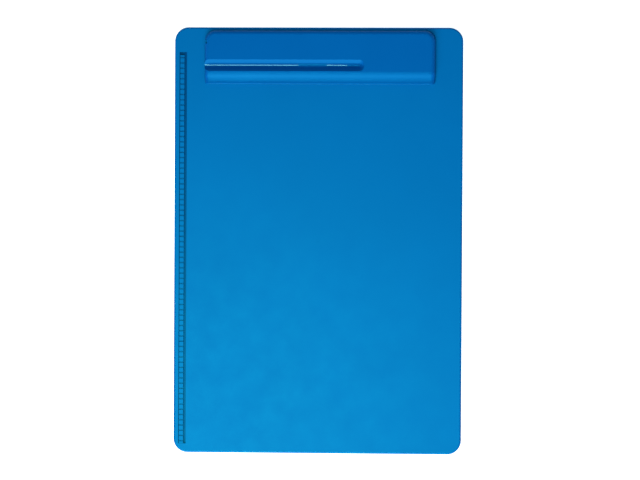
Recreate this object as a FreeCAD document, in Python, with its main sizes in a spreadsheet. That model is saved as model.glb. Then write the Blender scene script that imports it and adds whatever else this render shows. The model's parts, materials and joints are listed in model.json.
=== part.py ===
"""A4 clipboard with a spring clip, a pen trough in the clip and a toothed marker track.

Frame: origin on the underside at the middle of the board, +X right, +Y towards the clip,
+Z up out of the writing face. Distances called inset are measured from the board's clip
end, and heights are measured from the writing face. All sizes are millimetres.
"""
import FreeCAD, Part
import math
import os
import Sketcher

SIZES = [
    ("board_width", 232.0, "writing board, across"),
    ("board_length", 343.0, "writing board, along"),
    ("board_thick", 3.2, "writing board, thickness"),
    ("board_corner", 11.2, "plan radius of the board's corners"),
    ("board_top_round", 1.5, "rounding of the board's upper edge"),
    ("board_low_round", 0.6, "rounding of the board's lower edge"),
    ("gate_radius", 1.1, "moulding gate witness in the middle of the face"),
    ("gate_depth", 0.15, "depth of the gate witness"),
    ("track_margin", 3.95, "board's left edge to the track"),
    ("track_width", 6.0, "marker track, across"),
    ("track_depth", 1.9, "marker track, depth"),
    ("track_inset", 20.0, "clip end of the board to the track"),
    ("track_end_margin", 7.3, "track to the board's far end"),
    ("tooth_first", 23.85, "clip end of the board to the first full notch"),
    ("tooth_pitch", 4.2333, "one sixth of an inch, a typewriter line"),
    ("tooth_lead", 1.35, "short tooth ahead of the first notch"),
    ("tooth_gap", 1.2, "notch between two teeth"),
    ("tooth_margin", 0.5, "track wall to the tooth, on the outer side"),
    ("tooth_width", 3.4, "tooth, across the track"),
    ("tooth_sink", 0.2, "tooth top below the writing face"),
    ("tooth_depth", 0.7, "depth of a notch"),
    ("pocket_rear", 10.2, "clip end of the board to a bracket's pocket"),
    ("pocket_width", 34.0, "bracket's pocket in the board, across"),
    ("pocket_depth", 1.2, "bracket's pocket in the board, depth"),
    ("pocket_margin", 0.3, "paper stop to the pocket's end"),
    ("bracket_spread", 92.0, "between the two brackets' middles"),
    ("bracket_width", 24.0, "bracket, across"),
    ("bracket_rear", 23.2, "clip end of the board to the bracket's base"),
    ("bracket_front", 37.5, "clip end of the board to the paper stop's face"),
    ("gauge", 0.8, "sheet steel thickness"),
    ("ear_radius", 2.4, "rounded ear about the rod"),
    ("ear_foot", 6.3, "length of the ear's foot along the base"),
    ("stop_width", 18.0, "paper stop tab, across"),
    ("stop_height", 3.0, "paper stop tab above the writing face"),
    ("rivet_inset", 30.6, "clip end of the board to the rivets"),
    ("rivet_spread", 15.0, "between the two rivets of a bracket"),
    ("rivet_radius", 1.4, "rivet shank"),
    ("rivet_head_radius", 2.7, "rivet head in the underside"),
    ("rivet_head_thick", 0.9, "rivet head"),
    ("rivet_sink", 0.1, "rivet head below the underside"),
    ("rivet_roll_radius", 2.2, "rolled end on the bracket"),
    ("rivet_roll_thick", 0.7, "rolled end on the bracket"),
    ("rivet_fit", 0.05, "radial clearance round a rivet"),
    ("pivot_inset", 19.0, "clip end of the board to the rod"),
    ("pivot_height", 1.7, "rod's middle above the writing face"),
    ("rod_radius", 1.25, "hinge rod"),
    ("rod_chamfer", 0.25, "hinge rod ends"),
    ("rod_press", 0.02, "radial clearance of the rod in the ears"),
    ("rod_running", 0.05, "radial clearance of the clip on the rod"),
    ("rod_end_gap", 0.2, "rod's end to the blind end of its bearing"),
    ("wire_radius", 0.45, "spring wire"),
    ("coil_radius", 2.35, "spring coil, to the wire's middle"),
    ("coil_pitch", 1.1, "spring coil, advance of one turn"),
    ("coil_turns", 14, "full turns"),
    ("leg_length", 7.8, "spring leg on the pocket's floor"),
    ("leg_contact_inset", 7.2, "clip end of the board to the leg's end under the clip"),
    ("leg_gap", 0.05, "spring leg to the cover's roof"),
    ("clip_width", 185.2, "clip cover, across"),
    ("clip_shift", 1.0, "cover's middle to the right of the board's"),
    ("clip_rear", 2.8, "clip end of the board to the cover"),
    ("clip_front", 45.8, "clip end of the board to the jaw's front"),
    ("clip_height", 6.2, "cover's flat top"),
    ("clip_wall", 1.5, "cover wall"),
    ("clip_corner", 9.0, "plan radius of the cover's rear corners"),
    ("clip_front_corner", 2.4, "plan radius of the cover's front corners"),
    ("clip_round", 3.6, "rounding of the cover's upper edge, rear and sides"),
    ("clip_front_round", 0.45, "rounding of the cover's front edge"),
    ("rear_lip", 4.1, "cover's rear edge above the board, its press travel"),
    ("slope_start", 36.0, "clip end of the board to the front slope"),
    ("slope_turn", 39.6, "clip end of the board to the slope's steepest line"),
    ("slope_end", 43.9, "clip end of the board to the foot of the slope"),
    ("lip_height", 4.1, "flat lip above the jaw"),
    ("jaw_depth", 3.0, "jaw beam, along the board"),
    ("jaw_gap", 0.3, "jaw beam above the writing face"),
    ("skirt_step", 5.6, "length over which the side skirt rises from the jaw"),
    ("skirt_paper", 1.6, "side skirt above the paper"),
    ("skirt_pivot", 0.5, "side skirt above the board by the rod"),
    ("skirt_flat", 2.0, "length of the skirt's lowest stretch by the rod"),
    ("rib_thick", 2.6, "rib that carries the cover on the rod"),
    ("rib_radius", 2.3, "rib's boss round the rod"),
    ("rib_gap", 0.6, "rib to bracket"),
    ("rib_bore", 1.8, "depth of the blind bearing in an outer rib"),
    ("snap_width", 2.1, "mouth through which a rib snaps on to the rod"),
    ("nick_inset", 10.2, "clip end of the board to the nick in the cover's left side"),
    ("nick_length", 3.5, "nick, along the board"),
    ("nick_depth", 2.0, "nick, into the wall"),
    ("trough_inset", 31.0, "clip end of the board to the trough's bottom line"),
    ("trough_half", 4.6, "half of the pen trough's width"),
    ("trough_depth", 4.4, "depth at which the trough's two walls would meet"),
    ("trough_round", 1.2, "rounding of the trough's bottom"),
    ("trough_length", 128.5, "trough, from the cover's left side"),
    ("trough_wall", 1.3, "wall round the trough"),
    ("saddle_start", 75.5, "cover's left side to the trough's rounder middle stretch"),
    ("saddle_length", 22.5, "rounder stretch of the trough, where a finger lifts the pen"),
    ("saddle_round", 2.2, "rounding of the bottom in that stretch"),
    ("grip_margin", 7.1, "cover's side to the rubber jaw strip"),
    ("grip_depth", 1.6, "rubber jaw strip, along the board"),
    ("grip_slot", 1.4, "depth of the strip's slot in the jaw"),
    ("grip_gap", 0.12, "rubber jaw strip above the writing face"),
    ("grip_nose", 0.4, "bevel of the strip's lower edges"),
    ("grip_fit", 0.05, "clearance of the strip in its slot"),
]

COVER_TOP = "Sizes.board_thick + Sizes.clip_height"
PIVOT_Z = "Sizes.board_thick + Sizes.pivot_height"
SIDES = (("left", -1), ("right", 1))
JAW_REAR = "Sizes.clip_front - Sizes.jaw_depth"
POCKET_FLOOR = "(Sizes.board_thick - Sizes.pocket_depth)"
SLOPE_DROP = "(Sizes.clip_height - Sizes.lip_height)"
SLOPE_TILT = f"(2 * atan({SLOPE_DROP} / (Sizes.slope_end - Sizes.slope_start)))"
BROW_RADIUS = f"((Sizes.slope_turn - Sizes.slope_start) / sin({SLOPE_TILT}))"
FOOT_RADIUS = f"((Sizes.slope_end - Sizes.slope_turn) / sin({SLOPE_TILT}))"
TOOTH_COUNT = ("floor((Sizes.board_length - Sizes.track_end_margin - Sizes.tooth_first"
               " - Sizes.tooth_gap) / Sizes.tooth_pitch)")
GRIP_LENGTH = "(Sizes.clip_width - 2 * Sizes.grip_margin)"
GRIP_MIDDLE = "Sizes.clip_front - Sizes.jaw_depth / 2"
GRIP_TOP = "Sizes.board_thick + Sizes.jaw_gap + Sizes.grip_slot - Sizes.grip_fit"
LEG_REACH = "(Sizes.pivot_inset - Sizes.leg_contact_inset)"
LEG_LIFT = ("(Sizes.clip_height - Sizes.clip_wall - Sizes.leg_gap - Sizes.wire_radius"
            " - Sizes.pivot_height)")
LEG_RISE = (f"(atan2({LEG_LIFT}; {LEG_REACH})"
            f" - asin(Sizes.coil_radius / sqrt({LEG_LIFT}^2 + {LEG_REACH}^2)))")
BORE_LENGTH = ("(Sizes.bracket_spread + Sizes.bracket_width"
               " + 2 * (Sizes.rib_gap + Sizes.rib_bore))")


def from_clip_end(inset):
    """Y of a place given by its inset from the board's clip end."""
    return f"Sizes.board_length / 2 - ({inset})"


PIVOT_Y = from_clip_end("Sizes.pivot_inset")
COVER_LEFT = "(Sizes.clip_shift - Sizes.clip_width / 2)"
TROUGH_END = f"({COVER_LEFT} + Sizes.trough_length - Sizes.trough_half)"


def fill_sheet(doc):
    """The spreadsheet that holds every driving size."""
    sheet = doc.addObject("Spreadsheet::Sheet", "Sizes")
    for row, (alias, value, meaning) in enumerate(SIZES, start=1):
        sheet.set(f"A{row}", meaning)
        sheet.set(f"B{row}", str(value))
        sheet.setAlias(f"B{row}", alias)
    doc.recompute()
    return sheet


def new_body(doc, label):
    """A body whose label names its file."""
    body = doc.addObject("PartDesign::Body", label)
    body.Label = label
    return body


def origin_feature(body, role):
    """One of the body's own origin planes or axes."""
    return next(item for item in body.Origin.OriginFeatures if item.Role == role)


def new_sketch(body, name, plane, height="0"):
    """A sketch on one of the body's origin planes, raised along its normal."""
    sketch = body.newObject("Sketcher::SketchObject", name)
    sketch.AttachmentSupport = [(origin_feature(body, plane), "")]
    sketch.MapMode = "FlatFace"
    sketch.setExpression("AttachmentOffset.Base.z", height)
    return sketch


def pin_point(sketch, geometry, point, place):
    """Dimensions that hold a sketch point at two expressions from the sketch's origin."""
    for kind, expression in zip(("DistanceX", "DistanceY"), place):
        value = float(sketch.evalExpression(expression))
        index = sketch.addConstraint(Sketcher.Constraint(kind, -1, 1, geometry, point, value))
        sketch.setExpression(f"Constraints[{index}]", expression)


def draw_outline(sketch, corners):
    """A closed outline through the corners.

    A corner is (x, y) where a line leaves it, or (x, y, radius, turn) where an arc does;
    turn is 1 for an arc that bends left on its way and -1 for one that bends right.
    """
    spots = [FreeCAD.Vector(float(sketch.evalExpression(corner[0])),
                            float(sketch.evalExpression(corner[1])), 0) for corner in corners]
    starts = []
    ends = []
    for index, corner in enumerate(corners):
        here = spots[index]
        there = spots[(index + 1) % len(spots)]
        if len(corner) == 2:
            sketch.addGeometry(Part.LineSegment(here, there), False)
            starts.append(1)
            ends.append(2)
            continue
        radius = float(sketch.evalExpression(corner[2]))
        turn = corner[3]
        chord = there - here
        sideways = FreeCAD.Vector(-chord.y, chord.x, 0).normalize() * turn
        rise = math.sqrt(max(radius ** 2 - (chord.Length / 2) ** 2, 0.0))
        middle = here + chord * 0.5 + sideways * rise
        angles = [math.atan2(spot.y - middle.y, spot.x - middle.x) for spot in (here, there)]
        if turn < 0:
            angles.reverse()
        circle = Part.Circle(middle, FreeCAD.Vector(0, 0, 1), radius)
        sketch.addGeometry(Part.ArcOfCircle(circle, angles[0], angles[1]), False)
        starts.append(1 if turn > 0 else 2)
        ends.append(2 if turn > 0 else 1)
        item = sketch.addConstraint(Sketcher.Constraint("Radius", index, radius))
        sketch.setExpression(f"Constraints[{item}]", corner[2])
    for index, corner in enumerate(corners):
        following = (index + 1) % len(corners)
        sketch.addConstraint(
            Sketcher.Constraint("Coincident", index, ends[index], following, starts[following]))
        pin_point(sketch, index, starts[index], corner[:2])


def draw_rectangle(sketch, left, right, low, high):
    """A rectangle between four expressions."""
    draw_outline(sketch, [(left, low), (right, low), (right, high), (left, high)])


def draw_circle(sketch, centre_x, centre_y, radius):
    """A circle bound to three expressions."""
    centre = FreeCAD.Vector(float(sketch.evalExpression(centre_x)),
                            float(sketch.evalExpression(centre_y)), 0)
    size = float(sketch.evalExpression(radius))
    index = sketch.addGeometry(Part.Circle(centre, FreeCAD.Vector(0, 0, 1), size), False)
    pin_point(sketch, index, 3, (centre_x, centre_y))
    item = sketch.addConstraint(Sketcher.Constraint("Radius", index, size))
    sketch.setExpression(f"Constraints[{item}]", radius)


def extrude(body, sketch, kind, length, symmetric=False, reverse=False):
    """A Pad or a Pocket of the sketch; a pocket has to remove material."""
    before = body.Shape.Volume if kind == "Pocket" else 0.0
    feature = body.newObject(f"PartDesign::{kind}", f"{kind}_{sketch.Name}")
    feature.Profile = sketch
    feature.SideType = "Symmetric" if symmetric else "One side"
    feature.Reversed = reverse
    feature.setExpression("Length", length)
    body.Document.recompute()
    if kind == "Pocket" and feature.Shape.Volume >= before:
        raise RuntimeError(f"{feature.Name} removes nothing")
    return feature


def pad(body, sketch, length, **options):
    return extrude(body, sketch, "Pad", length, **options)


def pocket(body, sketch, length, **options):
    return extrude(body, sketch, "Pocket", length, **options)


def round_edges(body, name, wanted, radius):
    """A fillet on the edges that a test picks from the body's present shape."""
    base = body.Tip
    names = [f"Edge{number}" for number, edge in enumerate(base.Shape.Edges, start=1)
             if wanted(edge)]
    feature = body.newObject("PartDesign::Fillet", name)
    feature.Base = (base, names)
    feature.setExpression("Radius", radius)
    body.Document.recompute()
    return feature


def is_upright(edge):
    """True for a straight edge along Z."""
    return edge.BoundBox.ZLength > 0.5 and edge.BoundBox.DiagonalLength - edge.BoundBox.ZLength < 1e-6


def lies_at(edge, height):
    """True for an edge that stays at one height."""
    return abs(edge.BoundBox.ZMin - height) < 1e-6 and abs(edge.BoundBox.ZMax - height) < 1e-6


def make_board(doc, sizes):
    """The writing board: one moulded plate with the marker track let into its left margin."""
    body = new_body(doc, "writing_board")
    plate = new_sketch(body, "board_plan", "XY_Plane")
    draw_rectangle(plate, "-Sizes.board_width / 2", "Sizes.board_width / 2",
                   "-Sizes.board_length / 2", "Sizes.board_length / 2")
    pad(body, plate, "Sizes.board_thick")
    round_edges(body, "board_corners", is_upright, "Sizes.board_corner")
    round_edges(body, "board_upper_edge", lambda edge: lies_at(edge, sizes.board_thick),
                "Sizes.board_top_round")
    round_edges(body, "board_lower_edge", lambda edge: lies_at(edge, 0.0),
                "Sizes.board_low_round")
    cut_track(body)
    gate = new_sketch(body, "gate_plan", "XY_Plane", "Sizes.board_thick")
    draw_circle(gate, "0", "0", "Sizes.gate_radius")
    pocket(body, gate, "Sizes.gate_depth")
    cut_bracket_seats(body)
    return body


def cut_track(body):
    """The track: a long shallow channel with a bar of flat-topped teeth along its middle."""
    wall = "-Sizes.board_width / 2 + Sizes.track_margin"
    far_end = "-Sizes.board_length / 2 + Sizes.track_end_margin"
    track = new_sketch(body, "track_plan", "XY_Plane", "Sizes.board_thick")
    draw_rectangle(track, wall, f"{wall} + Sizes.track_width", far_end,
                   from_clip_end("Sizes.track_inset"))
    pocket(body, track, "Sizes.track_depth")
    left = f"{wall} + Sizes.tooth_margin"
    right = f"{left} + Sizes.tooth_width"
    row_start = from_clip_end("Sizes.tooth_first + Sizes.tooth_gap")
    bar_start = from_clip_end("Sizes.tooth_first - Sizes.tooth_lead")
    row_end = f"Sizes.tooth_first + {TOOTH_COUNT} * Sizes.tooth_pitch"
    bar = new_sketch(body, "bar_plan", "XY_Plane", "Sizes.board_thick - Sizes.track_depth")
    draw_rectangle(bar, left, right, far_end, bar_start)
    pad(body, bar, "Sizes.track_depth - Sizes.tooth_sink - Sizes.tooth_depth")
    notch_floor = "Sizes.board_thick - Sizes.tooth_sink - Sizes.tooth_depth"
    bridge = new_sketch(body, "track_end_plan", "XY_Plane", notch_floor)
    draw_rectangle(bridge, left, right, far_end, from_clip_end(f"{row_end} + Sizes.tooth_gap"))
    pad(body, bridge, "Sizes.tooth_depth")
    lead = new_sketch(body, "lead_tooth_plan", "XY_Plane", notch_floor)
    draw_rectangle(lead, left, right, from_clip_end("Sizes.tooth_first"), bar_start)
    pad(body, lead, "Sizes.tooth_depth")
    tooth = new_sketch(body, "tooth_plan", "XY_Plane", notch_floor)
    draw_rectangle(tooth, left, right,
                   from_clip_end("Sizes.tooth_first + Sizes.tooth_pitch"), row_start)
    first = pad(body, tooth, "Sizes.tooth_depth")
    row = body.newObject("PartDesign::LinearPattern", "tooth_row")
    row.Originals = [first]
    row.Direction = (origin_feature(body, "Y_Axis"), [""])
    row.Reversed = True
    row.setExpression("Length", f"({TOOTH_COUNT} - 1) * Sizes.tooth_pitch")
    row.setExpression("Occurrences", TOOTH_COUNT)
    body.Tip = row
    body.Document.recompute()


def rivet_places():
    """The four rivets: bracket's side, place in it, and expressions for X and Y."""
    for side_name, side in SIDES:
        for place_name, edge in (("inner", -side), ("outer", side)):
            yield (side_name, place_name,
                   f"{side} * Sizes.bracket_spread / 2 + {edge} * Sizes.rivet_spread / 2",
                   from_clip_end("Sizes.rivet_inset"))


def cut_bracket_seats(body):
    """A pocket for each bracket under the clip, with its rivets' holes and counterbores."""
    for side_name, side in SIDES:
        seat = new_sketch(body, f"pocket_{side_name}", "XY_Plane", "Sizes.board_thick")
        middle = f"{side} * Sizes.bracket_spread / 2"
        draw_rectangle(seat, f"{middle} - Sizes.pocket_width / 2",
                       f"{middle} + Sizes.pocket_width / 2",
                       from_clip_end("Sizes.bracket_front + Sizes.pocket_margin"),
                       from_clip_end("Sizes.pocket_rear"))
        pocket(body, seat, "Sizes.pocket_depth")
    holes = new_sketch(body, "rivet_holes", "XY_Plane")
    heads = new_sketch(body, "rivet_counterbores", "XY_Plane")
    for _, _, place_x, place_y in rivet_places():
        draw_circle(holes, place_x, place_y, "Sizes.rivet_radius + Sizes.rivet_fit")
        draw_circle(heads, place_x, place_y, "Sizes.rivet_head_radius + Sizes.rivet_fit")
    pocket(body, holes, "Sizes.board_thick", reverse=True)
    pocket(body, heads, "Sizes.rivet_sink + Sizes.rivet_head_thick", reverse=True)


def make_bracket(doc, label, side):
    """A pressed steel hinge bracket: a base, two ears for the rod and a paper stop tab."""
    body = new_body(doc, label)
    half = "Sizes.bracket_width / 2"
    rear = from_clip_end("Sizes.bracket_rear")
    front = from_clip_end("Sizes.bracket_front")
    base = new_sketch(body, f"{label}_base", "XY_Plane", POCKET_FLOOR)
    draw_rectangle(base, f"-{half}", half, front, rear)
    pad(body, base, "Sizes.gauge")
    for ear_name, inner in (("left", f"-{half}"), ("right", f"{half} - Sizes.gauge")):
        ear = new_sketch(body, f"{label}_{ear_name}_ear", "YZ_Plane", inner)
        draw_outline(ear, [
            (f"{rear} - Sizes.ear_foot", POCKET_FLOOR), (rear, POCKET_FLOOR),
            (PIVOT_Y, f"{PIVOT_Z} - Sizes.ear_radius", "Sizes.ear_radius", 1),
            (f"{PIVOT_Y} + Sizes.ear_radius", PIVOT_Z, "Sizes.ear_radius", 1),
            (PIVOT_Y, f"{PIVOT_Z} + Sizes.ear_radius"),
            (f"{rear} - Sizes.ear_foot", f"{POCKET_FLOOR} + Sizes.gauge")])
        pad(body, ear, "Sizes.gauge")
    stop = new_sketch(body, f"{label}_stop", "XY_Plane", POCKET_FLOOR)
    draw_rectangle(stop, "-Sizes.stop_width / 2", "Sizes.stop_width / 2", front,
                   f"{front} + Sizes.gauge")
    pad(body, stop, "Sizes.pocket_depth + Sizes.stop_height")
    bore = new_sketch(body, f"{label}_rod_bore", "YZ_Plane")
    draw_circle(bore, PIVOT_Y, PIVOT_Z, "Sizes.rod_radius + Sizes.rod_press")
    pocket(body, bore, "2 * Sizes.bracket_width", symmetric=True)
    holes = new_sketch(body, f"{label}_rivet_holes", "XY_Plane", POCKET_FLOOR)
    for edge in (-1, 1):
        draw_circle(holes, f"{edge} * Sizes.rivet_spread / 2", from_clip_end("Sizes.rivet_inset"),
                    "Sizes.rivet_radius + Sizes.rivet_fit")
    pocket(body, holes, "Sizes.gauge", reverse=True)
    body.setExpression("Placement.Base.x", f"{side} * Sizes.bracket_spread / 2")
    return body


def make_rivet(doc, label, place_x, place_y):
    """A rivet: a flat head sunk in the board's underside and a rolled end on the bracket."""
    body = new_body(doc, label)
    section = new_sketch(body, f"{label}_section", "XZ_Plane")
    head = "Sizes.rivet_sink + Sizes.rivet_head_thick"
    seat = f"{POCKET_FLOOR} + Sizes.gauge"
    draw_outline(section, [
        ("0", "Sizes.rivet_sink"), ("Sizes.rivet_head_radius", "Sizes.rivet_sink"),
        ("Sizes.rivet_head_radius", head), ("Sizes.rivet_radius", head),
        ("Sizes.rivet_radius", seat), ("Sizes.rivet_roll_radius", seat),
        ("Sizes.rivet_roll_radius - Sizes.rivet_roll_thick / 2",
         f"{seat} + Sizes.rivet_roll_thick"),
        ("0", f"{seat} + Sizes.rivet_roll_thick")])
    turned = body.newObject("PartDesign::Revolution", f"{label}_turned")
    turned.Profile = section
    turned.ReferenceAxis = (section, ["V_Axis"])
    turned.Angle = 360
    body.setExpression("Placement.Base.x", place_x)
    body.setExpression("Placement.Base.y", place_y)
    return body


def make_rod(doc):
    """The hinge rod through both brackets and into the cover's ribs."""
    body = new_body(doc, "hinge_rod")
    section = new_sketch(body, "rod_section", "YZ_Plane")
    draw_circle(section, PIVOT_Y, PIVOT_Z, "Sizes.rod_radius")
    pad(body, section, f"{BORE_LENGTH} - 2 * Sizes.rod_end_gap", symmetric=True)
    chamfer = body.newObject("PartDesign::Chamfer", "rod_ends")
    rod = chamfer.BaseFeature
    rims = [f"Edge{number}" for number, edge in enumerate(rod.Shape.Edges, start=1)
            if edge.BoundBox.XLength < edge.BoundBox.YLength / 2]
    chamfer.Base = (rod, rims)
    chamfer.setExpression("Size", "Sizes.rod_chamfer")
    return body


def make_spring(doc, label, side):
    """A torsion spring on the rod: one leg in the board's pocket, one under the cover's roof."""
    body = new_body(doc, label)
    start = "-Sizes.coil_turns * Sizes.coil_pitch / 2"
    turns = f"(Sizes.coil_turns + (180 deg - {LEG_RISE}) / 360 deg)"
    wire = wire_sketch(body, f"{label}_wire", start, "-Sizes.coil_radius")
    coil = body.newObject("PartDesign::AdditiveHelix", f"{label}_coil")
    coil.Profile = wire
    coil.ReferenceAxis = (wire, ["H_Axis"])
    coil.Mode = "pitch-turns-angle"
    coil.LeftHanded = True
    coil.setExpression("Pitch", "Sizes.coil_pitch")
    coil.setExpression("Turns", turns)
    doc.recompute()
    lower = wire_sketch(body, f"{label}_lower_leg", start, "-Sizes.coil_radius")
    pad(body, lower, "Sizes.leg_length", reverse=True)
    upper = wire_sketch(body, f"{label}_upper_leg", f"{start} + {turns} * Sizes.coil_pitch",
                        "Sizes.coil_radius")
    upper.AttachmentOffset = FreeCAD.Placement(
        upper.AttachmentOffset.Base, FreeCAD.Rotation(FreeCAD.Vector(1, 0, 0), 1))
    upper.setExpression("AttachmentOffset.Rotation.Angle", LEG_RISE)
    pad(body, upper, f"sqrt({LEG_LIFT}^2 + {LEG_REACH}^2 - Sizes.coil_radius^2)", reverse=True)
    body.setExpression("Placement.Base.x", f"{side} * Sizes.bracket_spread / 2")
    return body


def wire_sketch(body, name, place_x, place_z):
    """The wire's round section, placed from a point on the rod's axis."""
    sketch = new_sketch(body, name, "XZ_Plane", f"-({PIVOT_Y})")
    sketch.setExpression("AttachmentOffset.Base.y", PIVOT_Z)
    draw_circle(sketch, place_x, place_z, "Sizes.wire_radius")
    return sketch


def make_cover(doc, sizes):
    """The clip cover: a moulded shell with a pen trough, snapped on to the rod by its ribs."""
    shell = doc.addObject("Part::Cut", "cover_shell")
    shell.Base = make_cover_outer(doc, sizes)
    shell.Tool = make_cover_hollow(doc, sizes)
    spaces = doc.addObject("Part::MultiFuse", "cover_spaces")
    spaces.Shapes = [*make_trough_spaces(doc), *make_cover_openings(doc)]
    cover = doc.addObject("Part::Cut", "clip_cover")
    cover.Base = shell
    cover.Tool = spaces
    cover.Label = "clip_cover"
    return cover


def slope_turn(offset):
    """Y and Z of the slope's steepest line, moved inwards from the outer face."""
    inset = f"Sizes.slope_turn - {offset} * sin({SLOPE_TILT})"
    height = (f"{COVER_TOP} - {BROW_RADIUS} * (1 - cos({SLOPE_TILT}))"
              f" - {offset} * cos({SLOPE_TILT})")
    return from_clip_end(inset), height


def make_cover_outer(doc, sizes):
    """The cover's outer form: its side view drawn out across, rounded, then cut away below."""
    body = new_body(doc, "cover_outer")
    rear = from_clip_end("Sizes.clip_rear")
    front = from_clip_end("Sizes.clip_front")
    jaw = "Sizes.board_thick + Sizes.jaw_gap"
    lip = "Sizes.board_thick + Sizes.lip_height"
    side_view = new_sketch(body, "cover_side_view", "YZ_Plane", "Sizes.clip_shift")
    draw_outline(side_view, [
        (rear, jaw), (front, jaw), (front, lip),
        (from_clip_end("Sizes.slope_end"), lip, FOOT_RADIUS, 1),
        (*slope_turn("0"), BROW_RADIUS, -1),
        (from_clip_end("Sizes.slope_start"), COVER_TOP), (rear, COVER_TOP)])
    pad(body, side_view, "Sizes.clip_width", symmetric=True)
    pivot_y = sizes.board_length / 2 - sizes.pivot_inset
    front_y = sizes.board_length / 2 - sizes.clip_front
    top = sizes.board_thick + sizes.clip_height
    round_edges(body, "cover_rear_corners",
                lambda edge: is_upright(edge) and edge.BoundBox.YMin > pivot_y,
                "Sizes.clip_corner")
    round_edges(body, "cover_upper_edge",
                lambda edge: lies_at(edge, top) and edge.BoundBox.YMin > pivot_y,
                "Sizes.clip_round")
    round_edges(body, "cover_front_edge",
                lambda edge: abs(edge.BoundBox.YMax - front_y) < 1e-4
                and edge.BoundBox.ZMax > top - sizes.clip_height + sizes.lip_height - 1e-3,
                "Sizes.clip_front_round")
    cut_front_corners(body)
    cut_skirt(body)
    return body


def cut_front_corners(body):
    """Rounds the cover's two front corners in plan."""
    front = from_clip_end("Sizes.clip_front")
    radius = "Sizes.clip_front_corner"
    for name, side in SIDES:
        outer = f"Sizes.clip_shift + {side} * Sizes.clip_width / 2"
        inner = f"{outer} - {side} * {radius}"
        corner = new_sketch(body, f"front_corner_{name}", "XY_Plane")
        draw_outline(corner, [
            (inner, front, radius, side), (outer, f"{front} + {radius}"),
            (f"{outer} + {side}", f"{front} + {radius}"),
            (f"{outer} + {side}", f"{front} - 1"), (inner, f"{front} - 1")])
        pocket(body, corner, f"2 * ({COVER_TOP})", symmetric=True)


def cut_skirt(body):
    """Clears the cover's lower edge: room for paper in front, room to press it down behind."""
    clearance = new_sketch(body, "skirt_clearance", "YZ_Plane")
    paper = "Sizes.board_thick + Sizes.skirt_paper"
    low = "Sizes.board_thick + Sizes.skirt_pivot"
    half = "Sizes.skirt_flat / 2"
    draw_outline(clearance, [
        (from_clip_end(JAW_REAR), "0"),
        (from_clip_end(JAW_REAR), "Sizes.board_thick + Sizes.jaw_gap"),
        (from_clip_end(f"{JAW_REAR} - Sizes.skirt_step"), paper),
        (f"{PIVOT_Y} - {half}", low), (f"{PIVOT_Y} + {half}", low),
        (from_clip_end("Sizes.clip_rear"), "Sizes.board_thick + Sizes.rear_lip"),
        (f"{from_clip_end('Sizes.clip_rear')} + 1", "Sizes.board_thick + Sizes.rear_lip"),
        (f"{from_clip_end('Sizes.clip_rear')} + 1", "0")])
    pocket(body, clearance, "2 * Sizes.clip_width", symmetric=True)


def make_cover_hollow(doc, sizes):
    """The space inside the cover, less the trough's wall, the ribs and the jaw beam."""
    body = new_body(doc, "cover_hollow")
    side_view = new_sketch(body, "hollow_side_view", "YZ_Plane", "Sizes.clip_shift")
    rear = from_clip_end("Sizes.clip_rear + Sizes.clip_wall")
    beam = from_clip_end(JAW_REAR)
    roof = f"{COVER_TOP} - Sizes.clip_wall"
    foot_radius = f"({FOOT_RADIUS} + Sizes.clip_wall)"
    beam_top = (f"Sizes.board_thick + Sizes.lip_height + {FOOT_RADIUS}"
                f" - sqrt({foot_radius}^2 - (Sizes.slope_end - ({JAW_REAR}))^2)")
    draw_outline(side_view, [
        (rear, "0"), (beam, "0"), (beam, beam_top, foot_radius, 1),
        (*slope_turn("Sizes.clip_wall"), f"{BROW_RADIUS} - Sizes.clip_wall", -1),
        (from_clip_end("Sizes.slope_start"), roof), (rear, roof)])
    pad(body, side_view, "Sizes.clip_width - 2 * Sizes.clip_wall", symmetric=True)
    pivot_y = sizes.board_length / 2 - sizes.pivot_inset
    top = sizes.board_thick + sizes.clip_height - sizes.clip_wall
    round_edges(body, "hollow_rear_corners",
                lambda edge: is_upright(edge) and edge.BoundBox.YMin > pivot_y,
                "Sizes.clip_corner - Sizes.clip_wall")
    round_edges(body, "hollow_upper_edge",
                lambda edge: lies_at(edge, top) and edge.BoundBox.YMin > pivot_y,
                "Sizes.clip_round - Sizes.clip_wall")
    ribs = [make_rib(doc, side, edge) for _, side in SIDES for edge in (-1, 1)]
    kept = doc.addObject("Part::MultiFuse", "cover_inner_walls")
    kept.Shapes = [*make_trough_wall(doc), *ribs]
    hollow = doc.addObject("Part::Cut", "cover_space")
    hollow.Base = body
    hollow.Tool = kept
    return hollow


def make_rib(doc, side, edge):
    """A rib beside a bracket: a boss round the rod hung from the cover's roof."""
    name = f"rib_{'right' if side > 0 else 'left'}_{'outer' if side == edge else 'inner'}"
    body = new_body(doc, name)
    middle = (f"{side} * Sizes.bracket_spread / 2 + {edge} * (Sizes.bracket_width / 2"
              " + Sizes.rib_gap + Sizes.rib_thick / 2)")
    section = new_sketch(body, f"{name}_section", "YZ_Plane", middle)
    front = f"{PIVOT_Y} - Sizes.rib_radius"
    rear = f"{PIVOT_Y} + Sizes.rib_radius"
    draw_outline(section, [
        (front, COVER_TOP), (front, PIVOT_Z, "Sizes.rib_radius", 1),
        (PIVOT_Y, f"{PIVOT_Z} - Sizes.rib_radius", "Sizes.rib_radius", 1),
        (rear, PIVOT_Z), (rear, COVER_TOP)])
    pad(body, section, "Sizes.rib_thick", symmetric=True)
    return body


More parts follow.
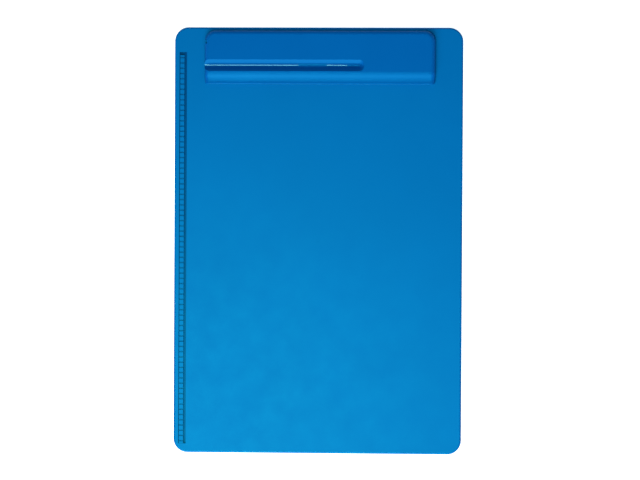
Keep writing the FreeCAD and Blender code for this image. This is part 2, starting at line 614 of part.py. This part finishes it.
def trough_points(bend, wall):
    """The half V of the trough: its half width, and where its wall meets the round bottom.

    The V keeps its slope when it grows by a wall, and its bottom's radius is the bend.
    """
    tilt = "atan(Sizes.trough_depth / Sizes.trough_half)"
    half = f"(Sizes.trough_half + {wall} / sin({tilt}))"
    apex = f"(Sizes.trough_depth + {wall} / cos({tilt}))"
    across = f"({bend} * sin({tilt}))"
    touch = f"({bend} * tan({tilt}) * sin({tilt}) - {apex})"
    bottom = f"({bend} / cos({tilt}) - {bend} - {apex})"
    return half, across, touch, bottom


def make_trough_run(doc, name, start, length, bend, wall="0"):
    """A stretch of the trough: a V with a round bottom, drawn out along X."""
    body = new_body(doc, name)
    half, across, touch, _ = trough_points(bend, wall)
    section = new_sketch(body, f"{name}_section", "YZ_Plane", start)
    section.setExpression("AttachmentOffset.Base.x", from_clip_end("Sizes.trough_inset"))
    section.setExpression("AttachmentOffset.Base.y", COVER_TOP)
    draw_outline(section, [
        (f"-{half}", "0"), (f"-{across}", touch, bend, 1), (across, touch), (half, "0"),
        (half, "1"), (f"-{half}", "1")])
    pad(body, section, length)
    return body


def make_trough_end(doc, name, bend, wall="0"):
    """The trough's closed end: the same V turned about an upright line."""
    body = new_body(doc, name)
    half, across, touch, bottom = trough_points(bend, wall)
    section = new_sketch(body, f"{name}_section", "XZ_Plane",
                         f"-({from_clip_end('Sizes.trough_inset')})")
    section.setExpression("AttachmentOffset.Base.x", TROUGH_END)
    section.setExpression("AttachmentOffset.Base.y", COVER_TOP)
    draw_outline(section, [
        ("0", "1"), ("0", bottom, bend, 1), (across, touch), (half, "0"), (half, "1")])
    turned = body.newObject("PartDesign::Revolution", f"{name}_turned")
    turned.Profile = section
    turned.ReferenceAxis = (section, ["V_Axis"])
    turned.Angle = 360
    return body


def make_trough_spaces(doc):
    """What is cut out for the pen: two sharp-bottomed stretches, a rounder one, an end."""
    saddle = f"({COVER_LEFT} + Sizes.saddle_start)"
    beyond = f"({saddle} + Sizes.saddle_length)"
    return [
        make_trough_run(doc, "trough_mouth", COVER_LEFT, "Sizes.saddle_start",
                        "Sizes.trough_round"),
        make_trough_run(doc, "trough_saddle", saddle, "Sizes.saddle_length",
                        "Sizes.saddle_round"),
        make_trough_run(doc, "trough_inner", beyond, f"{TROUGH_END} - {beyond}",
                        "Sizes.trough_round"),
        make_trough_end(doc, "trough_end", "Sizes.trough_round")]


def make_trough_wall(doc):
    """The trough's form grown by its wall, which the hollow leaves standing."""
    bend = "(Sizes.trough_round + Sizes.trough_wall)"
    return [
        make_trough_run(doc, "trough_wall_run", COVER_LEFT, f"{TROUGH_END} - {COVER_LEFT}", bend,
                        "Sizes.trough_wall"),
        make_trough_end(doc, "trough_wall_end", bend, "Sizes.trough_wall")]


def make_cover_openings(doc):
    """The rod's bearing with its snap mouth, the rubber strip's slot and the side's nick."""
    bore = doc.addObject("Part::Cylinder", "rod_bearing")
    bore.Placement = FreeCAD.Placement(
        FreeCAD.Vector(0, 0, 0), FreeCAD.Rotation(FreeCAD.Vector(0, 1, 0), 90))
    bore.setExpression("Radius", "Sizes.rod_radius + Sizes.rod_running")
    bore.setExpression("Height", BORE_LENGTH)
    place(bore, f"-{BORE_LENGTH} / 2", PIVOT_Y, PIVOT_Z)
    mouth = doc.addObject("Part::Box", "snap_mouth")
    mouth.setExpression("Length", BORE_LENGTH)
    mouth.setExpression("Width", "Sizes.snap_width")
    mouth.setExpression("Height", "2 * Sizes.rib_radius")
    place(mouth, f"-{BORE_LENGTH} / 2", f"{PIVOT_Y} - Sizes.snap_width / 2",
          f"{PIVOT_Z} - 2 * Sizes.rib_radius")
    slot = doc.addObject("Part::Box", "grip_slot_space")
    slot.setExpression("Length", f"{GRIP_LENGTH} + 2 * Sizes.grip_fit")
    slot.setExpression("Width", "Sizes.grip_depth + 2 * Sizes.grip_fit")
    slot.setExpression("Height", "Sizes.jaw_gap + Sizes.grip_slot")
    place(slot, f"Sizes.clip_shift - {GRIP_LENGTH} / 2 - Sizes.grip_fit",
          from_clip_end(f"{GRIP_MIDDLE} + Sizes.grip_depth / 2 + Sizes.grip_fit"),
          "Sizes.board_thick")
    nick = doc.addObject("Part::Box", "side_nick")
    nick.setExpression("Length", "2 * Sizes.nick_depth")
    nick.setExpression("Width", "Sizes.nick_length")
    nick.setExpression("Height", "Sizes.clip_height")
    place(nick, f"{COVER_LEFT} - Sizes.nick_depth",
          from_clip_end("Sizes.nick_inset + Sizes.nick_length"), "Sizes.board_thick")
    return [bore, mouth, slot, nick]


def place(item, *position):
    """Binds an object's position to three expressions."""
    for axis, expression in zip("xyz", position):
        item.setExpression(f"Placement.Base.{axis}", expression)


def make_grip(doc):
    """The rubber strip held in the jaw's slot, just clear of the writing face."""
    body = new_body(doc, "jaw_grip")
    section = new_sketch(body, "grip_section", "YZ_Plane", "Sizes.clip_shift")
    middle = from_clip_end(GRIP_MIDDLE)
    low = "Sizes.board_thick + Sizes.grip_gap"
    half = "Sizes.grip_depth / 2"
    nose = "Sizes.grip_nose"
    draw_outline(section, [
        (f"{middle} - {half}", f"{low} + {nose}"),
        (f"{middle} - {half} + {nose}", low),
        (f"{middle} + {half} - {nose}", low),
        (f"{middle} + {half}", f"{low} + {nose}"),
        (f"{middle} + {half}", GRIP_TOP),
        (f"{middle} - {half}", GRIP_TOP)])
    pad(body, section, GRIP_LENGTH, symmetric=True)
    return body


def check(doc, parts):
    """Stop on any failed object or any part without one sound shape."""
    failed = [item.Name for item in doc.Objects
              if "Invalid" in item.State or "Error" in item.State]
    if failed:
        raise RuntimeError(f"failed: {failed}")
    for item in parts:
        if item.Shape.isNull() or not item.Shape.isValid() or not item.Shape.Solids:
            raise RuntimeError(f"{item.Label} has no sound shape")


def build():
    """The whole clipboard: every sub-part, checked and written to its own file."""
    doc = FreeCAD.newDocument("clipboard")
    sizes = fill_sheet(doc)
    parts = [make_board(doc, sizes)]
    for name, side in SIDES:
        parts.append(make_bracket(doc, f"hinge_bracket_{name}", side))
        parts.append(make_spring(doc, f"torsion_spring_{name}", side))
    for name, spot, place_x, place_y in rivet_places():
        parts.append(make_rivet(doc, f"bracket_rivet_{name}_{spot}", place_x, place_y))
    parts.append(make_rod(doc))
    parts.append(make_cover(doc, sizes))
    parts.append(make_grip(doc))
    doc.recompute()
    check(doc, parts)
    os.makedirs("parts", exist_ok=True)
    for item in parts:
        item.Shape.exportStep(f"parts/{item.Label}.step")
        print(f"{item.Label}: {item.Shape.Volume:.1f} mm3")


build()
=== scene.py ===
"""Looks of the clipboard: camera, studio, moulded plastic, plated steel, rubber and springs."""
import json
import math

import bmesh
import bpy
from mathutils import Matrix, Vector


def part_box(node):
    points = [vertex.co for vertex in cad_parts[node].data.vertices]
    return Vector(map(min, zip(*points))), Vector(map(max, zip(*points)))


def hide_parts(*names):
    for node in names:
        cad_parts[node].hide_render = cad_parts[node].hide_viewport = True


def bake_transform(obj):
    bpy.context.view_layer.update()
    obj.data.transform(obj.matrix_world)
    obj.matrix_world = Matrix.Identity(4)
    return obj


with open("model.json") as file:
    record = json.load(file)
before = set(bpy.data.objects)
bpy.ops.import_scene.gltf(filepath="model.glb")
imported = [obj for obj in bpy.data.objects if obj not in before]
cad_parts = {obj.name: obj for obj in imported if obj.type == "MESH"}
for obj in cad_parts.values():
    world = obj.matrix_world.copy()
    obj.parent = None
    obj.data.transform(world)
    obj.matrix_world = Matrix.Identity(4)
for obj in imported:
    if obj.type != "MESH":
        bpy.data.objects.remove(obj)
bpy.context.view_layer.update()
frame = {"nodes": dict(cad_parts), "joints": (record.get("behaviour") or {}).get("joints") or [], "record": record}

MM = 0.001
BOARD_LOW, BOARD_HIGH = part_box("writing_board")
COVER_LOW, COVER_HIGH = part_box("clip_cover")
HINGE = Vector(frame["joints"][0]["pos_m"])
OPENINGS = {box["name"]: box["box_m"] for box in frame["record"]["physics"]["openings"]}
TROUGH_BOX = [Vector(corner) for corner in OPENINGS["pen_trough"]]
SADDLE_START = 75.5 * MM
SADDLE_LENGTH = 22.5 * MM
SMOOTH_BEYOND = 16.0 * MM
WORN_HALF = 0.8 * MM
WORN_FADE = 0.3 * MM
TRACK_MIDDLE = BOARD_LOW.x + 6.95 * MM
TRACK_WIDTH = 6.0 * MM
TRACK_DEPTH = 1.9 * MM
FLOOR_GAP = 0.2 * MM
PLASTIC_TINT = (0.02, 0.85, 1.0)
WORN_TINT = (0.3, 1.0, 1.0)
WORN_ROUGHNESS = 0.2
WORN_GLOSS = 1.0
GLOW_COLOUR = (0.2, 0.72, 1.0, 1.0)


# ---- camera -------------------------------------------------------------------------------

def add_camera():
    """A long lens almost straight above the board, as for a catalogue picture."""
    data = bpy.data.cameras.new("camera")
    camera = bpy.data.objects.new("camera", data)
    bpy.context.scene.collection.objects.link(camera)
    distance = 1.4
    seen_width = 0.5147
    data.sensor_width = 36.0
    data.lens = data.sensor_width * distance / seen_width
    data.clip_start = 0.05
    camera.location = (0.0455, 0.0187, BOARD_HIGH.z + distance)
    camera.rotation_euler = [math.radians(turn) for turn in (-0.729, 1.792, 0.296)]
    bpy.context.scene.camera = camera


# ---- studio -------------------------------------------------------------------------------

def add_floor(material):
    """A plain pale table top, far larger than the view."""
    mesh = bpy.data.meshes.new("table_top")
    half = 3.0
    corners = [(-half, -half, 0), (half, -half, 0), (half, half, 0), (-half, half, 0)]
    mesh.from_pydata(corners, [], [(0, 1, 2, 3)])
    floor = bpy.data.objects.new("table_top", mesh)
    bpy.context.scene.collection.objects.link(floor)
    floor.location.z = -FLOOR_GAP
    floor.visible_glossy = False
    mesh.materials.append(material)


def add_area_light(name, place, target, size, power):
    """A rectangular softbox at a place, facing a target."""
    data = bpy.data.lights.new(name, "AREA")
    data.shape = "RECTANGLE"
    data.size, data.size_y = size
    data.energy = power
    light = bpy.data.objects.new(name, data)
    bpy.context.scene.collection.objects.link(light)
    light.location = place
    light.rotation_euler = (Vector(target) - Vector(place)).to_track_quat("-Z", "Y").to_euler()


def add_world(strength):
    """A faint even bluish glow, so that no face goes black."""
    world = bpy.data.worlds.new("studio")
    world.use_nodes = True
    background = world.node_tree.nodes["Background"]
    background.inputs["Color"].default_value = GLOW_COLOUR
    background.inputs["Strength"].default_value = strength
    bpy.context.scene.world = world


def add_studio():
    """Two softboxes beyond the reader's end, one overhead and a faint even glow."""
    add_area_light("key", (-0.40, -1.37, 1.50), (0.0, 0.0, 0.0), (1.3, 0.9), 26.0)
    add_area_light("low", (-0.30, -1.90, 0.85), (0.0, 0.0, 0.0), (1.6, 0.4), 40.0)
    add_area_light("overhead", (-0.17, -0.32, 1.50), (-0.03, 0.0, 0.0), (0.6, 0.45), 9.0)
    add_world(0.36)


# ---- materials ----------------------------------------------------------------------------

class Nodes:
    """A small helper that builds a material's node tree."""

    def __init__(self, name):
        self.material = bpy.data.materials.new(name)
        self.material.use_nodes = True
        self.tree = self.material.node_tree
        self.shader = self.tree.nodes["Principled BSDF"]
        self.place = self.add("ShaderNodeTexCoord").outputs["Object"]

    def add(self, kind, **values):
        node = self.tree.nodes.new(kind)
        for key, value in values.items():
            setattr(node, key, value)
        return node

    def link(self, source, target):
        self.tree.links.new(source, target)

    def set(self, **values):
        """Values on the shader's own sockets, with underscores for the spaces."""
        for key, value in values.items():
            self.shader.inputs[key.replace("_", " ")].default_value = value

    def noise(self, scale, detail=2.0, roughness=0.5, stretch=None):
        node = self.add("ShaderNodeTexNoise")
        node.inputs["Scale"].default_value = scale
        node.inputs["Detail"].default_value = detail
        node.inputs["Roughness"].default_value = roughness
        source = self.place
        if stretch:
            mapping = self.add("ShaderNodeMapping")
            mapping.inputs["Scale"].default_value = stretch
            self.link(self.place, mapping.inputs["Vector"])
            source = mapping.outputs["Vector"]
        self.link(source, node.inputs["Vector"])
        return node.outputs["Fac"]

    def ramp(self, source, stops):
        """A colour ramp from (position, colour) stops."""
        node = self.add("ShaderNodeValToRGB")
        ramp = node.color_ramp
        while len(ramp.elements) < len(stops):
            ramp.elements.new(0.5)
        for element, (position, colour) in zip(ramp.elements, stops):
            element.position = position
            element.color = (*colour, 1.0)
        self.link(source, node.inputs["Fac"])
        return node.outputs["Color"]

    def spread(self, source, low, high):
        """The source's middle range mapped on to low..high."""
        node = self.add("ShaderNodeMapRange")
        node.inputs["From Min"].default_value = 0.3
        node.inputs["From Max"].default_value = 0.7
        node.inputs["To Min"].default_value = low
        node.inputs["To Max"].default_value = high
        self.link(source, node.inputs["Value"])
        return node.outputs["Result"]

    def spread_mask(self, mask, low, high):
        """A mask's 0..1 mapped on to low..high."""
        node = self.add("ShaderNodeMapRange")
        node.inputs["To Min"].default_value = low
        node.inputs["To Max"].default_value = high
        self.link(mask, node.inputs["Value"])
        return node.outputs["Result"]

    def mix(self, mask, plain, value):
        """A number that goes from the plain source to a value where the mask is 1."""
        node = self.add("ShaderNodeMix", data_type="FLOAT")
        self.link(mask, node.inputs["Factor"])
        self.link(plain, node.inputs["A"])
        node.inputs["B"].default_value = value
        return node.outputs["Result"]

    def blend_colour(self, mask, plain, colour):
        """A colour that goes from the plain source to one colour where the mask is 1."""
        node = self.add("ShaderNodeMix", data_type="RGBA")
        self.link(mask, node.inputs["Factor"])
        self.link(plain, node.inputs[6])
        node.inputs[7].default_value = (*colour, 1.0)
        return node.outputs[2]

    def band(self, axis, middle, half, fade):
        """1 within half of a middle along one axis of the object, fading out beyond it."""
        split = self.add("ShaderNodeSeparateXYZ")
        self.link(self.place, split.inputs["Vector"])
        away = self.add("ShaderNodeMath", operation="SUBTRACT")
        self.link(split.outputs[axis], away.inputs[0])
        away.inputs[1].default_value = middle
        distance = self.add("ShaderNodeMath", operation="ABSOLUTE")
        self.link(away.outputs["Value"], distance.inputs[0])
        node = self.add("ShaderNodeMapRange")
        node.inputs["From Min"].default_value = half
        node.inputs["From Max"].default_value = half + fade
        node.inputs["To Min"].default_value = 1.0
        node.inputs["To Max"].default_value = 0.0
        self.link(distance.outputs["Value"], node.inputs["Value"])
        return node.outputs["Result"]

    def multiply(self, first, second):
        node = self.add("ShaderNodeMath", operation="MULTIPLY")
        self.link(first, node.inputs[0])
        self.link(second, node.inputs[1])
        return node.outputs["Value"]

    def bump(self, source, depth, strength, onto=None):
        node = self.add("ShaderNodeBump")
        node.inputs["Strength"].default_value = strength
        node.inputs["Distance"].default_value = depth
        self.link(source, node.inputs["Height"])
        if onto:
            self.link(onto, node.inputs["Normal"])
        return node.outputs["Normal"]


def moulded_plastic(name, deep, light, gloss, worn=None, recess_shade=None):
    """Satin moulded plastic; worn gives a mask for a polished place, and the last mask darkens the colour with
    painted shade.
    """
    nodes = Nodes(name)
    mottle = nodes.noise(9.0, detail=3.0, roughness=0.6)
    colour = nodes.ramp(mottle, [(0.3, deep), (0.7, light)])
    if recess_shade:
        # painted shade: the colour darkens towards this where the mask is 1
        red, green, blue = deep
        painted_shade = (red, 0.3 * green, 0.5 * blue)
        colour = nodes.blend_colour(recess_shade(nodes), colour, painted_shade)
    nodes.link(colour, nodes.shader.inputs["Base Color"])
    wear = nodes.noise(60.0, detail=4.0, roughness=0.6)
    roughness = nodes.spread(wear, 0.37, 0.43)
    if worn:
        mask = worn(nodes)
        roughness = nodes.mix(mask, roughness, WORN_ROUGHNESS)
        nodes.link(nodes.spread_mask(mask, gloss, WORN_GLOSS),
                   nodes.shader.inputs["Specular IOR Level"])
        nodes.link(nodes.ramp(mask, [(0.0, PLASTIC_TINT), (1.0, WORN_TINT)]),
                   nodes.shader.inputs["Specular Tint"])
    else:
        nodes.set(Specular_Tint=(*PLASTIC_TINT, 1.0), Specular_IOR_Level=gloss)
    nodes.link(roughness, nodes.shader.inputs["Roughness"])
    grain = nodes.bump(nodes.noise(2600.0, detail=1.0), 0.00002, 0.25)
    waves = nodes.bump(nodes.noise(22.0, detail=1.0), 0.0004, 0.06, onto=grain)
    nodes.link(waves, nodes.shader.inputs["Normal"])
    nodes.set(IOR=1.5)
    return nodes.material


def track_floor_shade(nodes):
    """The deep floor of the marker track, darkened with painted shade."""
    to_board = frame["nodes"]["writing_board"].matrix_world.inverted()
    middle = to_board @ Vector((TRACK_MIDDLE, 0.0, BOARD_HIGH.z - TRACK_DEPTH))
    across = nodes.band("X", middle.x, TRACK_WIDTH / 2, 0.05 * MM)
    deep = nodes.band("Z", middle.z, 0.6 * MM, 0.5 * MM)
    return nodes.multiply(across, deep)


def trough_line(nodes):
    """The line at the bottom of the pen trough, which pens have rubbed smooth."""
    low, high = TROUGH_BOX
    to_cover = frame["nodes"]["clip_cover"].matrix_world.inverted()
    middle = to_cover @ ((low + high) / 2)
    line = nodes.band("Y", middle.y, WORN_HALF, WORN_FADE)
    start = to_cover @ Vector((COVER_LOW.x, 0.0, 0.0))
    saddle = start.x + SADDLE_START + SADDLE_LENGTH / 2
    rounder = nodes.band("X", saddle, SADDLE_LENGTH / 2, 0.3 * MM)
    outside = nodes.add("ShaderNodeMath", operation="SUBTRACT")
    outside.inputs[0].default_value = 1.0
    nodes.link(rounder, outside.inputs[1])
    half = (SADDLE_START + SADDLE_LENGTH + SMOOTH_BEYOND) / 2
    reach = nodes.band("X", start.x + half, half, 1.0 * MM)
    return nodes.multiply(nodes.multiply(line, reach), outside.outputs["Value"])


def plated_steel(name, colour, roughness, along):
    """Bright steel with fine drawn lines along one axis."""
    nodes = Nodes(name)
    stretch = [1500.0, 1500.0, 1500.0]
    stretch["XYZ".index(along)] = 60.0
    lines = nodes.noise(1.0, detail=3.0, roughness=0.6, stretch=stretch)
    dark = tuple(0.82 * value for value in colour)
    nodes.link(nodes.ramp(lines, [(0.3, dark), (0.7, colour)]), nodes.shader.inputs["Base Color"])
    nodes.link(nodes.spread(lines, roughness - 0.06, roughness + 0.08),
               nodes.shader.inputs["Roughness"])
    nodes.link(nodes.bump(lines, 0.00001, 0.2), nodes.shader.inputs["Normal"])
    nodes.set(Metallic=1.0)
    return nodes.material


def soft_rubber(name):
    """Dull black rubber, a little dusty."""
    nodes = Nodes(name)
    dust = nodes.noise(400.0, detail=4.0, roughness=0.6)
    nodes.link(nodes.ramp(dust, [(0.35, (0.018, 0.018, 0.02)), (0.75, (0.05, 0.05, 0.053))]),
               nodes.shader.inputs["Base Color"])
    nodes.link(nodes.spread(dust, 0.62, 0.78), nodes.shader.inputs["Roughness"])
    nodes.link(nodes.bump(dust, 0.00003, 0.3), nodes.shader.inputs["Normal"])
    nodes.set(Specular_IOR_Level=0.35)
    return nodes.material


def pale_floor():
    """Plain pale paper, lit from below as on a light table."""
    nodes = Nodes("pale_floor")
    tone = nodes.noise(3.0)
    nodes.link(nodes.ramp(tone, [(0.0, (0.90, 0.90, 0.90)), (1.0, (0.92, 0.92, 0.92))]),
               nodes.shader.inputs["Base Color"])
    nodes.set(Roughness=0.9, Specular_IOR_Level=0.1, Emission_Color=(1.0, 1.0, 1.0, 1.0),
              Emission_Strength=0.8)
    return nodes.material


def paint(node, material):
    """Puts one material on a CAD node."""
    mesh = frame["nodes"][node].data
    mesh.materials.clear()
    mesh.materials.append(material)


def paint_cad():
    """Every CAD node's material."""
    board = moulded_plastic("board_plastic", (0.0, 0.098, 0.308), (0.0, 0.106, 0.328), 0.55,
                            recess_shade=track_floor_shade)
    cover = moulded_plastic("cover_plastic", (0.0, 0.080, 0.295), (0.0, 0.087, 0.312), 0.34,
                            worn=trough_line)
    paint("writing_board", board)
    paint("clip_cover", cover)
    paint("jaw_grip", soft_rubber("grip_rubber"))
    paint("hinge_rod", plated_steel("rod_steel", (0.62, 0.62, 0.63), 0.25, "X"))
    bracket = plated_steel("bracket_steel", (0.58, 0.59, 0.60), 0.32, "Y")
    rivet = plated_steel("rivet_steel", (0.60, 0.60, 0.60), 0.34, "Z")
    for name in frame["nodes"]:
        if name.startswith("hinge_bracket"):
            paint(name, bracket)
        if name.startswith("bracket_rivet"):
            paint(name, rivet)


# ---- springs ------------------------------------------------------------------------------

WIRE_RADIUS = 0.45 * MM
COIL_RADIUS = 2.35 * MM
COIL_PITCH = 1.1 * MM
COIL_TURNS = 14
LEG_LENGTH = 7.8 * MM


def spring_path(node):
    """Points along one torsion spring: lower leg, coil, upper leg, in the row frame."""
    low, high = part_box(node)
    start = low.x + WIRE_RADIUS
    reach = high.y - HINGE.y
    lift = high.z - WIRE_RADIUS - HINGE.z
    rise = math.atan2(lift, reach) - math.asin(COIL_RADIUS / math.hypot(lift, reach))
    total = 2 * math.pi * COIL_TURNS + math.pi - rise
    points = []
    leg_steps = 8
    for step in range(leg_steps):
        back = LEG_LENGTH * (1 - step / leg_steps)
        points.append(Vector((start, HINGE.y + back, HINGE.z - COIL_RADIUS)))
    steps = int(total / math.radians(12))
    for step in range(steps + 1):
        turn = total * step / steps
        points.append(Vector((start + COIL_PITCH * turn / (2 * math.pi),
                              HINGE.y - COIL_RADIUS * math.sin(turn),
                              HINGE.z - COIL_RADIUS * math.cos(turn))))
    last = points[-1]
    length = math.sqrt(lift ** 2 + reach ** 2 - COIL_RADIUS ** 2)
    for step in range(1, leg_steps + 1):
        out = length * step / leg_steps
        points.append(last + Vector((0.0, out * math.cos(rise), out * math.sin(rise))))
    return points


def tube(name, points, radius, sides=14):
    """A closed round wire through the points, with flat caps at its ends."""
    mesh = bpy.data.meshes.new(name)
    shape = bmesh.new()
    rings = []
    normal = Vector((1.0, 0.0, 0.0))
    for index, point in enumerate(points):
        ahead = points[min(index + 1, len(points) - 1)] - points[max(index - 1, 0)]
        ahead.normalize()
        normal = (normal - ahead * normal.dot(ahead)).normalized()
        other = ahead.cross(normal)
        ring = []
        for side in range(sides):
            angle = 2 * math.pi * side / sides
            ring.append(shape.verts.new(
                point + (normal * math.cos(angle) + other * math.sin(angle)) * radius))
        rings.append(ring)
    for first, second in zip(rings, rings[1:]):
        for side in range(sides):
            after = (side + 1) % sides
            shape.faces.new((first[side], first[after], second[after], second[side]))
    shape.faces.new(list(reversed(rings[0])))
    shape.faces.new(rings[-1])
    bmesh.ops.recalc_face_normals(shape, faces=shape.faces)
    shape.to_mesh(mesh)
    shape.free()
    for face in mesh.polygons:
        face.use_smooth = len(face.vertices) == 4
    wire = bpy.data.objects.new(name, mesh)
    bpy.context.scene.collection.objects.link(wire)
    return wire


def add_springs(material):
    """Wire springs built in place of the CAD springs, which are hidden; the far legs reach up to the cover and the
    near legs lie in the pockets.
    """
    for side in ("left", "right"):
        node = f"torsion_spring_{side}"
        points = spring_path(node)
        wire = tube(f"spring_wire_{side}", points, WIRE_RADIUS)
        wire.data.materials.append(material)
        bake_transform(wire)
        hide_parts(node)


# ---- scene --------------------------------------------------------------------------------

bpy.context.scene.view_settings.view_transform = "Standard"
add_camera()
add_studio()
add_floor(pale_floor())
paint_cad()
add_springs(plated_steel("spring_steel", (0.45, 0.45, 0.46), 0.3, "X"))
